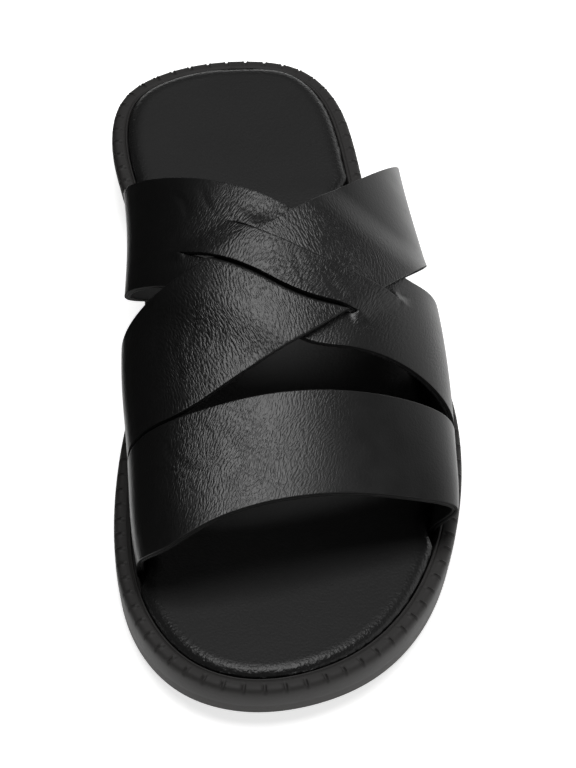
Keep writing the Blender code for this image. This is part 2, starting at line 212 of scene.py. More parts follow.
# How far from a slit its edge curls, the strips stay joined past its ends, and its gap draws the leather
CURL_REACH = 5.0 * MM
JOIN_REACH = 2.4 * MM
GAP_REACH = 3.0 * MM
OUTER_GAP = 0.3 * MM

# How the weave rises and dips, each pair from none to full. Across the lateral strap, for what lies beside it
STRIP_BESIDE = (1.32, 0.98)
DIP_BEFORE = (-0.30, -0.02)
DIP_BEHIND = (1.36, 1.02)
CURL_BESIDE = (0.98, 1.04)
# Across the medial strap, for the lateral one: it comes up beside the medial strap and goes under at the slits
LAP_BEFORE = (-0.47, -0.02)
LAP_BEHIND = (1.47, 1.02)
FRONT_DIVE = (-0.024, 0.016)
REAR_DIVE = (-0.016, -0.056)
# Around the foot, from the little toe end and from the big toe end of a slit
STRIP_ENDS = ((-0.035, 0.040), (0.030, -0.030))
SPLIT_ENDS = ((0.0, 0.014), (0.0, -0.018))
CURL_END = (0.0, -0.05)
OPEN_FROM = (0.0, 0.05)
FRONT_CLOSE = (0.0, -0.10)
REAR_CLOSE = (0.0, -0.03)

# Profile of the rim, from its foot over the top to the inner foot: mm in from the outline, mm above the rim
WELT_PROFILE = (
    (0.00, -2.70),
    (0.00, -2.10),
    (0.12, -1.40),
    (0.40, -0.82),
    (0.85, -0.38),
    (1.45, -0.10),
    (2.10, 0.01),
    (2.80, 0.03),
    (3.40, 0.03),
    (3.80, 0.02),
    (4.10, -0.02),
    (4.26, -0.22),
    (4.40, -0.22),
    (4.54, 0.04),
    (4.78, 0.18),
    (5.02, 0.16),
    (5.22, -0.05),
    (5.36, -0.60),
    (5.50, -2.70),
)
NOTCH_STEPS = 14

# The ring of the profile that lies at the rim's height
WELT_CREST = 6
# A notch by steps round the rim, as shares of its depth, and how it fades across the rim: mm in, share
NOTCH_SHAPE = {NOTCH_STEPS - 1: -0.35, 0: 1.0, 1: 0.9, 2: -0.35}
NOTCH_REACH = ((0.0, 0.0), (0.4, 0.75), (2.1, 1.0), (2.8, 0.9), (3.4, 0.0))
# A notch cuts into the wall up to this far in from the outline, and to full depth down from this far on, in mm
NOTCH_WALL = 1.6
NOTCH_TOP = 0.8

# The footbed's rolled edge: its curve, and how soon its gloss is full
ROLL_CURVE = 2.4
ROLL_GLOSS = 1.5

# Angles in radians over which an edge stays hard
SHARP_CORNER = 0.7
SHARP_SOFT = 1.2
SHARP_NEVER = 3.2

# The way over the foot from side to side, and a place inside the foot: x, z
ARC = 168 * MM
HEART = (8 * MM, 22 * MM)

# A crease sways by this many mm, and its shoulders stand this many breadths off with this share of its depth
CREASE_SWAY = 0.9
CREASE_SHOULDER = (1.9, 0.35)

# Creases pressed into the straps: around, share across from the front edge, turn in degrees from
# the strap's width, length, width and depth in mm
FRONT_CREASES = (
    (0.58, 0.34, -30, 12, 1.3, 0.07),
    (0.62, 0.62, -34, 14, 1.5, 0.09),
    (0.67, 0.80, -28, 11, 1.3, 0.08),
    (0.70, 0.46, -30, 13, 1.5, 0.09),
    (0.74, 0.72, -24, 10, 1.3, 0.07),
)
MEDIAL_CREASES = (
    (0.56, 0.86, -34, 9, 1.3, 0.10),
    (0.61, 0.80, -30, 10, 1.3, 0.11),
    (0.655, 0.74, -26, 10, 1.3, 0.10),
    (0.46, 0.50, -30, 11, 1.3, 0.08),
    (0.40, 0.46, -24, 11, 1.4, 0.09),
    (0.345, 0.24, -40, 7, 1.1, 0.12),
    (0.68, 0.38, 50, 6, 1.1, 0.10),
    (0.26, 0.70, 40, 6, 0.9, 0.18),
)
LATERAL_CREASES = (
    (0.61, 0.34, 14, 12, 1.4, 0.08),
    (0.66, 0.58, 18, 13, 1.5, 0.09),
    (0.70, 0.36, 10, 13, 1.5, 0.09),
    (0.73, 0.64, 16, 12, 1.5, 0.08),
)

# Where the fine wrinkles lie, and with them the painted sheen on their crests: around, station, reach round mm,
# reach along mm, strength
WRINKLED_AREAS = (
    (0.62, 0.76, 26, 30, 1.0),
    (0.58, 0.64, 30, 26, 1.0),
    (0.50, 0.57, 30, 20, 1.0),
    (0.52, 0.50, 24, 18, 1.0),
    (0.36, 0.55, 18, 20, 0.8),
    (0.08, 0.36, 20, 30, 0.45),
    (0.12, 0.58, 18, 20, 0.45),
    (0.05, 0.72, 16, 20, 0.35),
)

# The camera of the photograph, turned to the middle of this one shoe: place, then its own axes
CAMERA_PLACE = (-0.091867, -1.061472, 1.041988)
CAMERA_RIGHT = (0.99765305, -0.06284452, 0.0271837)
CAMERA_UP = (0.02449831, 0.69833722, 0.71534953)
CAMERA_BACK = (-0.06393919, -0.71300469, 0.69823785)
CAMERA_LENS = 213.0

# The floor's width, and the direction in which the surroundings darken
FLOOR_SIZE = 8.0
SKY_UP = (-0.35, 0, 1)

# The soft lamp nearly overhead, and where it points
LAMP_PLACE = (0.03, 0.18, 1.50)
LAMP_AIM = (0.0, 0.0, 0.04)
LAMP_SIZE = 0.9

# A black felt flag beside the big toe side, where the photograph's other shoe keeps that side dark
FLAG_X, FLAG_Y = -0.070, 0.05
FLAG_LENGTH = 0.30
FLAG_HEIGHT = 0.10
FLAG_FOOT = 2 * MM


def linear(code):
    """An sRGB hex colour as the linear values that Blender's sockets take."""
    values = [int(code[i : i + 2], 16) / 255 for i in (1, 3, 5)]
    return tuple(v / 12.92 if v <= 0.04045 else ((v + 0.055) / 1.055) ** 2.4 for v in values)


def spline(at, values, wanted, closed=False):
    """Natural cubic through rows of values, or a closed one whose last row repeats its first."""
    at = np.asarray(at, float)
    values = np.asarray(values, float).reshape(len(at), -1)
    wanted = np.atleast_1d(np.asarray(wanted, float))
    gap = np.diff(at)
    slope = np.diff(values, axis=0) / gap[:, None]
    count = len(at) - closed
    matrix = np.eye(count)
    right = np.zeros((count, values.shape[1]))
    for i in range(0 if closed else 1, count if closed else count - 1):
        before = gap[i - 1] if i or not closed else gap[-1]
        slope_before = slope[i - 1] if i or not closed else slope[-1]
        matrix[i] = 0
        matrix[i, (i - 1) % count] += before
        matrix[i, i] += 2 * (before + gap[i])
        matrix[i, (i + 1) % count] += gap[i]
        right[i] = 6 * (slope[i] - slope_before)
    bend = np.linalg.solve(matrix, right)
    if closed:
        bend = np.vstack([bend, bend[:1]])
    i = np.clip(np.searchsorted(at, wanted, side="right") - 1, 0, len(at) - 2)
    h = gap[i][:, None]
    left = (at[i + 1] - wanted)[:, None] / h
    near = 1 - left
    bent = (left**3 - left) * bend[i] + (near**3 - near) * bend[i + 1]
    return left * values[i] + near * values[i + 1] + bent * h**2 / 6


def table(rows, column, at):
    rows = np.array(rows)
    return spline(rows[:, 0], rows[:, column], at)[:, 0]


def smooth(share):
    share = np.clip(share, 0.0, 1.0)
    return share * share * (3 - 2 * share)


def fade(value, none, full):
    """A smooth way from 0, where the value is at none, to 1, where it is at full."""
    return smooth((value - none) / (full - none))


def y_of(station):
    return (0.5 - station) * SOLE_LENGTH


def station_of(y):
    return 0.5 - y / SOLE_LENGTH


def outline(inset=0.0, room=0.0, lean=0.0, count=1200):
    """Points round the sole, moved inwards: by inset, by room where the straps end, by a share of the lean."""
    rows = [(across * width, y_of(station)) for station, across, width in OUTLINE]
    points = np.array(rows + rows[:1])
    step = np.linalg.norm(np.diff(points, axis=0), axis=1)
    length = np.concatenate([[0], np.cumsum(step)])
    points = spline(length, points, np.linspace(0, length[-1], 4800, endpoint=False), closed=True)
    loop = np.vstack([points, points[:1]])
    run = np.concatenate([[0], np.cumsum(np.linalg.norm(np.diff(loop, axis=0), axis=1))])
    even = np.linspace(0, run[-1], count, endpoint=False)
    points = np.stack([np.interp(even, run, loop[:, 0]), np.interp(even, run, loop[:, 1])], 1)
    ahead = np.roll(points, -1, axis=0) - np.roll(points, 1, axis=0)
    ahead /= np.linalg.norm(ahead, axis=1)[:, None]
    inward = np.stack([ahead[:, 1], -ahead[:, 0]], axis=1)
    if np.sum(inward * points) > 0:
        inward = -inward
    ends = np.array(END_ROOM)
    station = station_of(points[:, 1])
    lateral = np.interp(station, ends[:, 0], ends[:, 1])
    medial = np.interp(station, ends[:, 0], ends[:, 2])
    leans = np.array(WALL_LEAN) * (1.0, MM)
    lean_in = lean * np.interp(station, leans[:, 0], leans[:, 1])
    return points + inward * (inset + room * np.where(points[:, 0] > 0, lateral, medial) + lean_in)[:, None]


def across_at(edge, y):
    """Where the outline crosses this y: its big toe side x and its little toe side x."""
    after = np.roll(edge, -1, axis=0)
    share = (y - edge[:, 1]) / (after[:, 1] - edge[:, 1] + 1e-15)
    hit = (share >= 0) & (share < 1)
    x = edge[hit, 0] + share[hit] * (after[hit, 0] - edge[hit, 0])
    return x.min(), x.max()


MIDDLE_X = (outline()[:, 0].min() + outline()[:, 0].max()) / 2


def ground(station):
    """Height of the tread: flat under the heel and the forefoot, lifted at the arch and the toe."""
    arch = fade(station, *ARCH_ENDS[0]) * fade(station, *ARCH_ENDS[1])
    toe = np.clip((station - TOE_FROM) / (1 - TOE_FROM), 0, None) ** TOE_CURVE
    heel = np.clip((HEEL_FROM - station) / HEEL_FROM, 0, None) ** 2
    return ARCH_LIFT * arch + TOE_SPRING * toe + HEEL_LIFT * heel


def rim_height(station):
    return table(SIDE_VIEW, 1, station) * MM


def outsole_top(station):
    return ground(station) + table(SIDE_VIEW, 2, station) * MM


def footbed_top(station, across):
    cup = table(SIDE_VIEW, 3, station) * MM
    return rim_height(station) + FOOTBED_RISE - cup * (1 - (2 * across - 1) ** 2)


def last_section(station, edge, count):
    """The last's outline at a station, little toe foot to big toe foot, evenly spaced: x and z."""
    rows = np.array(LAST)
    cut = spline(rows[:, 0], rows[:, 1:] * MM, station)[0].reshape(5, 2)
    medial, lateral = across_at(edge, y_of(station))
    rim = rim_height(station)[0]
    foot = [(lateral, rim - STRAP_FOOT), (lateral + 0.05 * MM, rim + 0.2 * MM)]
    other = [(medial - 0.05 * MM, rim + 0.2 * MM), (medial, rim - STRAP_FOOT)]
    points = np.array(foot + list(map(tuple, cut)) + other)
    step = np.linalg.norm(np.diff(points, axis=0), axis=1) ** 0.7
    at = np.concatenate([[0], np.cumsum(step)])
    curve = spline(at, points, np.linspace(0, at[-1], 6 * count))
    length = np.concatenate([[0], np.cumsum(np.linalg.norm(np.diff(curve, axis=0), axis=1))])
    even = np.linspace(0, length[-1], count)
    return np.stack([np.interp(even, length, curve[:, 0]), np.interp(even, length, curve[:, 1])], 1)


LAST_STATIONS = np.linspace(0.24, 0.88, 65)
LAST_EDGE = outline(RIM_WIDTH + STRAP_INSET, count=2400)
LAST_GRID = np.array([last_section(station, LAST_EDGE, 81) for station in LAST_STATIONS])
LAST_GRID = np.concatenate(
    [2 * LAST_GRID[:, :1] - LAST_GRID[:, 1:2], LAST_GRID, 2 * LAST_GRID[:, -1:] - LAST_GRID[:, -2:-1]], axis=1
)


def patch_weights(at):
    """Four weights of a curve that passes through its points, for a place between the middle two."""
    a, b, c = at, at * at, at * at * at
    return np.stack([(-a + 2 * b - c) / 2, (2 - 5 * b + 3 * c) / 2, (a + 4 * b - 3 * c) / 2, (c - b) / 2], 1)


def on_last(around, station):
    """Points of the last at these places."""
    row = (station - LAST_STATIONS[0]) / (LAST_STATIONS[1] - LAST_STATIONS[0])
    col = np.clip(around, -0.01, 1.01) * (LAST_GRID.shape[1] - 3) + 1
    i = np.clip(np.floor(row).astype(int), 1, LAST_GRID.shape[0] - 3)
    j = np.clip(np.floor(col).astype(int), 1, LAST_GRID.shape[1] - 3)
    rows = i[:, None, None] + np.arange(-1, 3)[None, :, None]
    cols = j[:, None, None] + np.arange(-1, 3)[None, None, :]
    xz = np.einsum("ni,nj,nijk->nk", patch_weights(row - i), patch_weights(col - j), LAST_GRID[rows, cols])
    return np.stack([xz[:, 0], y_of(station), xz[:, 1]], 1)


def off_last(around, station, lift):
    """Points moved out from the last along its normal."""
    points = on_last(around, station)
    along = on_last(around, station + 0.003) - on_last(around, station - 0.003)
    over = on_last(around + 0.004, station) - on_last(around - 0.004, station)
    normal = np.cross(along, over)
    normal /= np.linalg.norm(normal, axis=1)[:, None]
    outward = normal[:, 0] * (points[:, 0] - HEART[0]) + normal[:, 2] * (points[:, 2] - HEART[1])
    return points + normal * (np.sign(outward) * lift)[:, None]


def strap_edges(rows, around):
    """Stations of a strap's front edge and rear edge."""
    return table(rows, 1, around), table(rows, 2, around)


def strap_station(rows, around, share):
    front, rear = strap_edges(rows, around)
    return front + (rear - front) * share


def strap_share(rows, around, station):
    """How far across a strap a station lies: 0 at its front edge, 1 at its rear edge."""
    front, rear = strap_edges(rows, around)
    return (front - station) / (front - rear)


def strap_width(rows, around):
    front, rear = strap_edges(rows, around)
    return np.abs(front - rear) * SOLE_LENGTH


def slit_ends(share):
    """The little toe end and the big toe end of the raised strip, at a share of the strap's width."""
    mix = np.clip((share - FRONT_SLIT[0]) / (REAR_SLIT[0] - FRONT_SLIT[0]), 0, 1)
    return [FRONT_SLIT[i] + mix * (REAR_SLIT[i] - FRONT_SLIT[i]) for i in (1, 2)]


def between_ends(around, ends, pairs):
    """Full between the two ends of a slit, fading at each end by its pair."""
    return np.prod([fade(around - end, *pair) for end, pair in zip(ends, pairs)], axis=0)


def slit_bend(around):
    """How far the front slit bows to the toe, as a share of the medial strap's width."""
    return np.interp(around, *zip(*FRONT_BOW))


def share_of_lateral(around, share):
    """How far across the lateral strap a place on the medial strap lies: 0 at its front edge, 1 at its rear."""
    return strap_share(LATERAL_STRAP, around, strap_station(MEDIAL_STRAP, around, share))


def strip_lift(around, share):
    """The middle strip stands on the lateral strap and comes down beside it, past the ends of the slits."""
    rise = np.interp(share, (FRONT_SLIT[0], REAR_SLIT[0]), STRIP_LIFT)
    rise *= fade(share_of_lateral(around, share), *STRIP_BESIDE)
    return rise * between_ends(around, slit_ends(share), STRIP_ENDS)


def lateral_lift(around, station):
    """The lateral strap rides over the outer strips of the medial one and dips under its middle strip."""
    share = strap_share(MEDIAL_STRAP, around, station)
    over = fade(share, *LAP_BEHIND) * fade(share, *LAP_BEFORE)
    under = fade(share - FRONT_SLIT[0] - slit_bend(around), *FRONT_DIVE)
    under *= fade(share - REAR_SLIT[0], *REAR_DIVE)
    return over * (OVER_LIFT + (UNDER_LIFT - OVER_LIFT) * under)


def medial_lift(around, share, strip):
    """Height of the medial strap: 0 marks its front strip, 1 its middle strip and 2 its rear strip."""
    crossed = share_of_lateral(around, share)
    dipping = fade(crossed, *DIP_BEFORE) * fade(crossed, *DIP_BEHIND)
    wall = bpy.context.scene.sandal_straps.leather + bpy.context.scene.sandal_straps.lining
    room = lateral_lift(around, strap_station(MEDIAL_STRAP, around, share)) - wall - 2 * SHEET_GAP
    outer = dipping * np.minimum(PRESSED, np.where(dipping > 0.97, room, PRESSED))
    slit = np.where(strip == 0, FRONT_SLIT[0] + slit_bend(around), REAR_SLIT[0])
    ends = slit_ends(slit)
    off = (share - slit) * strap_width(MEDIAL_STRAP, around)
    # The rear strip's edge stands up a little between the end of its slit and the lateral strap
    curl = fade(crossed, *CURL_BESIDE) * fade(around - ends[1], *CURL_END) * np.exp(-((off / CURL_REACH) ** 2))
    outer += np.where(strip == 2, EDGE_CURL * curl, 0)
    joined = (1 - between_ends(around, ends, SPLIT_ENDS)) * np.exp(-((off / JOIN_REACH) ** 2))
    outer = outer * (1 - joined) + strip_lift(around, slit) * joined
    return np.where(strip == 1, strip_lift(around, share), outer)


def slit_recess(around, share, strip, width):
    """Draws the edges of a slit apart: the middle strip by its gap, the outer strips by a little."""
    straps = bpy.context.scene.sandal_straps
    moved = slit_bend(around) * np.interp(share, (0, FRONT_SLIT[0], REAR_SLIT[0]), (0, 1, 0))
    for slit, start, gap, close, side in (
        (FRONT_SLIT, FRONT_SLIT[1], straps.front_gap, FRONT_CLOSE, 0),
        (REAR_SLIT, REAR_OPEN, straps.rear_gap, REAR_CLOSE, 2),
    ):
        open_here = between_ends(around, (start, slit[2]), (OPEN_FROM, close))
        near = open_here * np.exp(-(((share - slit[0]) * width / GAP_REACH) ** 2))
        inward = near * (1 - side) / width
        moved += inward * (np.where(strip == 1, gap, 0) - np.where(strip == side, OUTER_GAP, 0))
    return moved


def crease_depth(creases, around, share, width):
    """Soft troughs with low shoulders, laid one by one on a strap of this width."""
    depth = np.zeros(len(around))
    for at, across, turn, length, breadth, deep in creases:
        side, ahead = (around - at) * ARC / MM, (share - across) * width / MM
        turn = np.radians(turn)
        run = ahead * np.cos(turn) - side * np.sin(turn)
        off = side * np.cos(turn) + ahead * np.sin(turn) + CREASE_SWAY * np.sin(run / length * 4.0 + at * 40)
        fall = np.exp(-((2 * run / length) ** 4))
        trough = np.exp(-((off / breadth) ** 2))
        shoulder = np.exp(-((np.abs(off) / breadth - CREASE_SHOULDER[0]) ** 2))
        depth += fall * deep * MM * (CREASE_SHOULDER[1] * shoulder - trough)
    return depth * bpy.context.scene.sandal_straps.creasing


def wrinkle_strength(around, station):
    """How strongly the fine wrinkles and their painted sheen show: most on the crowns, hardly at all on the
    flanks.
    """
    strength = np.zeros(len(around))
    for at, middle, reach_round, reach_along, most in WRINKLED_AREAS:
        off = ((around - at) * ARC / MM / reach_round) ** 2
        off = off + ((station - middle) * SOLE_LENGTH / MM / reach_along) ** 2
        strength = np.maximum(strength, most * np.exp(-off))
    return np.clip(strength, 0.06, 1.0)


def add_mesh(name, bm, material):
    """Turns a bmesh into an object of the scene."""
    mesh = bpy.data.meshes.new(name)
    bm.to_mesh(mesh)
    bm.free()
    mesh.materials.append(material)
    made = bpy.data.objects.new(name, mesh)
    bpy.context.scene.collection.objects.link(made)
    return made


def finish_mesh(name, bm, material, sharp):
    """Turns a bmesh into a finished piece in the row frame: smooth shaded, but hard at edges over sharp."""
    bm.normal_update()
    for face in bm.faces:
        face.smooth = True
    for edge in bm.edges:
        if len(edge.link_faces) == 2 and edge.calc_face_angle() > sharp:
            edge.smooth = False
    bmesh.ops.translate(bm, verts=bm.verts[:], vec=(-MIDDLE_X, 0, 0))
    return add_mesh(name, bm, material)


def place(made, slot, *nodes):
    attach(made, "root")
    if nodes:
        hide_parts(*nodes)


def feed(tree, made, inputs):
    """Gives each input of a node, by name, its value or a link from a socket."""
    for key, value in inputs.items():
        if isinstance(value, bpy.types.NodeSocket):
            tree.links.new(value, made.inputs[key])
        else:
            made.inputs[key].default_value = value


def node(tree, kind, inputs, out=0, **settings):
    """Adds a shader node with its settings and inputs, and gives one of its outputs."""
    made = tree.nodes.new(f"ShaderNode{kind}")
    for name, value in settings.items():
        setattr(made, name, value)
    feed(tree, made, inputs)
    return made.outputs[out]


def mixed(tree, factor, first, second):
    """A mix of two linear colours."""
    colours = {"Factor": factor, "A": (*first, 1), "B": (*second, 1)}
    return node(tree, "Mix", colours, "Result", data_type="RGBA")


def new_material(name):
    made = bpy.data.materials.get(name)
    if made:
        return made, None, None
    made = bpy.data.materials.new(name)
    made.use_nodes = True
    return made, made.node_tree, made.node_tree.nodes["Principled BSDF"]


def strap_leather():
    """Aniline dyed cowhide, waxed and boarded: a near black soft gloss, with a painted sheen that colours its
    wrinkle crests lighter grey on the crowns, where they catch light.
    """
    made, tree, shader = new_material("waxed_cowhide")
    if tree is None:
        return made
    colours = bpy.context.scene.sandal_colours
    chart = node(tree, "UVMap", {}, uv_map="over_last")
    strength = node(tree, "Attribute", {}, "Fac", attribute_name="wrinkled")
    # Large slow drift that bends the run of the wrinkles, one swing per 14 mm
    drift = node(tree, "TexNoise", {"Vector": chart, "Scale": 70.0, "Detail": 1.0}, "Color")
    swing = node(tree, "VectorMath", {0: drift, 1: (0.5, 0.5, 0.5)}, operation="SUBTRACT")
    swing = node(tree, "VectorMath", {0: swing, "Scale": 0.0045}, operation="SCALE")
    bent = node(tree, "VectorMath", {0: chart, 1: swing})
    # Ripples 1 mm apart and about 3 mm long, with soft valleys
    lie = node(tree, "Mapping", {"Vector": bent, "Scale": (1800.0, 540.0, 1.0)})
    ripple = node(tree, "TexNoise", {"Vector": lie, "Scale": 1.0, "Detail": 1.0, "Roughness": 0.4})
    soft = {"Value": ripple, "From Min": 0.28, "From Max": 0.68}
    crest = node(tree, "MapRange", soft, interpolation_type="SMOOTHSTEP")
    # Ripple crests, masked to the crowns: they give the bump, and a painted sheen in the colour
    crest_relief_and_sheen = node(tree, "Math", {0: crest, 1: strength}, operation="MULTIPLY")
    # Hair cell grain, cells of 0.7 mm
    grain = node(tree, "TexVoronoi", {"Vector": chart, "Scale": 1400.0})
    pebble = node(tree, "Math", {0: grain, 1: 0.16}, operation="MULTIPLY")
    height = node(tree, "Math", {0: crest_relief_and_sheen, 1: pebble}, operation="SUBTRACT")
    # Slow clouds of wax, about 8 mm across
    cloud = node(tree, "TexNoise", {"Vector": chart, "Scale": 120.0, "Detail": 3.0})
    finish = {
        # Painted sheen: the crests are coloured lighter grey where they catch light
        "Base Color": mixed(tree, crest_relief_and_sheen, colours.leather, colours.leather_painted_sheen),
        "Roughness": node(tree, "MapRange", {"Value": cloud, "To Min": 0.30, "To Max": 0.42}),
        "Normal": node(tree, "Bump", {"Height": height, "Strength": 1.0, "Distance": 0.00011}),
        "Specular IOR Level": 0.42,
    }
    feed(tree, shader, finish)
    return made


def edge_paint():
    """Acrylic edge paint on the cut edges of the straps: matt black."""
    made, tree, shader = new_material("edge_paint")
    if tree:
        black = (*bpy.context.scene.sandal_colours.edge, 1)
        feed(tree, shader, {"Base Color": black, "Roughness": 0.75, "Specular IOR Level": 0.2})
    return made


def lining_leather():
    """Pigskin split, dyed black: matt, with pores 1.1 mm apart."""
    made, tree, shader = new_material("pigskin_lining")
    if tree is None:
        return made
    face = bpy.context.scene.sandal_colours.lining
    spot = node(tree, "TexCoord", {}, "Object")
    pores = node(tree, "TexVoronoi", {"Vector": spot, "Scale": 900.0})
    finish = {
        "Base Color": mixed(tree, pores, face, [c * 0.5 for c in face]),
        "Roughness": 0.62,
        "Normal": node(tree, "Bump", {"Height": pores, "Strength": 0.6, "Distance": 0.00005}),
    }
    feed(tree, shader, finish)
    return made


def footbed_leather():
    """Corrected grain cowhide stretched over foam: an even dark grey with a fine grain and a soft gloss."""
    made, tree, shader = new_material("footbed_cowhide")
    if tree is None:
        return made
    face = bpy.context.scene.sandal_colours.footbed
    spot = node(tree, "TexCoord", {}, "Object")
    near_edge = node(tree, "Attribute", {}, "Fac", attribute_name="edge")
    # Printed grain, cells of 0.9 mm, and slow cloudy patches of about 20 mm
    grain = node(tree, "TexVoronoi", {"Vector": spot, "Scale": 1100.0})
    cloud = node(tree, "TexNoise", {"Vector": spot, "Scale": 55.0, "Detail": 3.0})
    # Pulled grain over the rolled edge, pleats 1 mm apart
    pleat = node(tree, "TexNoise", {"Vector": spot, "Scale": 1000.0, "Detail": 2.0})
    pull = node(tree, "Math", {0: pleat, 1: near_edge}, operation="MULTIPLY")
    pull = node(tree, "Math", {0: pull, 1: 2.2}, operation="MULTIPLY")
    cells = node(tree, "Math", {0: grain, 1: 0.6}, operation="MULTIPLY")
    height = node(tree, "Math", {0: pull, 1: cells}, operation="SUBTRACT")
    finish = {
        "Base Color": mixed(tree, cloud, [c * 0.85 for c in face], [c * 1.2 for c in face]),
        "Roughness": node(tree, "MapRange", {"Value": near_edge, "To Min": 0.50, "To Max": 0.30}),
        "Normal": node(tree, "Bump", {"Height": height, "Strength": 1.0, "Distance": 0.00009}),
        "Specular IOR Level": 0.25,
    }
    feed(tree, shader, finish)
    return made


def moulded_rubber(name, colour, roughness, grit_mm):
    """Rubber from a blasted mould: matt, with a fine grit and faint cloudy marks of release wax."""
    made, tree, shader = new_material(name)
    if tree is None:
        return made
    spot = node(tree, "TexCoord", {}, "Object")
    grit = node(tree, "TexNoise", {"Vector": spot, "Scale": 1 / (grit_mm * MM), "Detail": 2.0})
    cloud = node(tree, "TexNoise", {"Vector": spot, "Scale": 80.0, "Detail": 4.0})
    gloss = {"Value": cloud, "To Min": roughness - 0.05, "To Max": roughness + 0.08}
    finish = {
        "Base Color": mixed(tree, cloud, [c * 0.8 for c in colour], [c * 1.25 for c in colour]),
        "Roughness": node(tree, "MapRange", gloss),
        "Normal": node(tree, "Bump", {"Height": grit, "Strength": 0.6, "Distance": 0.0001}),
    }
    feed(tree, shader, finish)
    return made


def spaced(count, *marks):
    """Shares from 0 to 1 in even steps, moved so that each mark falls on a step."""
    even = np.linspace(0, 1, count + 1)
    at = [0.0, *sorted(marks), 1.0]
    steps = [round(mark * count) / count for mark in at]
    return np.interp(even, steps, at)


def strap_sheet(name, rows, creases, depth, wall, steps, material, ease, run, lift, woven):
    """One leather sheet of a strap, laid on the last at a depth below its outside, with its own thickness.

    Steps are along and across the strap, run turns its grain, in radians, and lift is its height over the last.
    """
    along, across = steps
    bm = bmesh.new()
    bmesh.ops.create_grid(bm, x_segments=along, y_segments=across, size=0.5)
    slits = (FRONT_SLIT, REAR_SLIT) if woven else ()
    around_steps = spaced(along, *[end for slit in slits for end in slit[1:]])
    share_steps = spaced(across, *[slit[0] for slit in slits])
    places = bm.verts.layers.float_vector.new("places")
    for vert in bm.verts:
        i, j = round((vert.co.x + 0.5) * along), round((vert.co.y + 0.5) * across)
        vert[places] = (around_steps[i], share_steps[j], 0.0)
    for slit, start, end in slits:
        cut = []
        for edge in bm.edges:
            at = [vert[places] for vert in edge.verts]
            if all(abs(p.y - slit) < 1e-4 and start - 1e-4 < p.x < end + 1e-4 for p in at):
                cut.append(edge)
        bmesh.ops.split_edges(bm, edges=cut)
    bm.verts.ensure_lookup_table()
    around = np.array([vert[places].x for vert in bm.verts])
    share = np.array([vert[places].y for vert in bm.verts])
    width = strap_width(rows, around)
    rise = np.zeros(len(around))
    if woven:
        middle = np.array([np.mean([f.calc_center_median().y for f in v.link_faces]) + 0.5 for v in bm.verts])
        marks = [round(slit[0] * across) / across for slit in slits]
        strip = np.where(middle < marks[0] - 1e-4, 0, np.where(middle > marks[1] + 1e-4, 2, 1))
        share = share + slit_recess(around, share, strip, width)
        rise = medial_lift(around, share, strip)
    station = strap_station(rows, around, share)
    if lift:
        rise = lift(around, station)
    points = off_last(around, station, rise + crease_depth(creases, around, share, width) - depth)
    wrinkled = bm.verts.layers.float.new("wrinkled")
    for vert, point, strong in zip(bm.verts, points, wrinkle_strength(around, station)):
        vert.co = point
        vert[wrinkled] = strong
    chart = bm.loops.layers.uv.new("over_last")
    for face in bm.faces:
        for loop in face.loops:
            u, v = around[loop.vert.index] * ARC, station[loop.vert.index] * SOLE_LENGTH
            loop[chart].uv = (u * np.cos(run) - v * np.sin(run), u * np.sin(run) + v * np.cos(run))
    bm.normal_update()
    top = max(bm.faces, key=lambda face: face.calc_center_median().z)
    if top.normal.z < 0:
        bmesh.ops.reverse_faces(bm, faces=bm.faces[:])
    bm.verts.layers.float_vector.remove(places)
    made = finish_mesh(name, bm, material, SHARP_NEVER)
    made.data.materials.append(edge_paint())
    skin = made.modifiers.new("wall", "SOLIDIFY")
    skin.thickness, skin.offset, skin.material_offset_rim = wall, -1.0, 1
    soft = made.modifiers.new("eased edge", "BEVEL")
    soft.width, soft.segments, soft.limit_method, soft.angle_limit = ease, 2, "ANGLE", 1.0
    soft.harden_normals = False
    return made


def make_strap(name, rows, creases, run, across, lift=None, woven=False):
    """A strap's outer leather and, just under it, its lining."""
    straps = bpy.context.scene.sandal_straps
    below = straps.leather + SHEET_GAP
    hide, lining = strap_leather(), lining_leather()
    sheets = (
        ("leather", creases, 0.0, straps.leather, (260, across[0]), hide, straps.ease, run),
        ("lining", (), below, straps.lining, (130, across[1]), lining, straps.ease * 0.7, 0.0),
    )
    for part, *sizes in sheets:
        made = strap_sheet(f"{name}_{part}", rows, *sizes, lift, woven)
        place(made, "upper", "front_strap" if rows is FRONT_STRAP else "cross_straps")


def row_edges(edge, along):
    """The two ends of each cross row of a layer, closer together towards the heel and the toe."""
    back, front = edge[:, 1].max(), edge[:, 1].min()
    turn = END_SHARE + (1 - 2 * END_SHARE) * np.linspace(0, 1, along + 1)
    rows = back + (front - back) * (0.5 - 0.5 * np.cos(np.pi * turn))
    return [(y, *across_at(edge, y)) for y in rows]


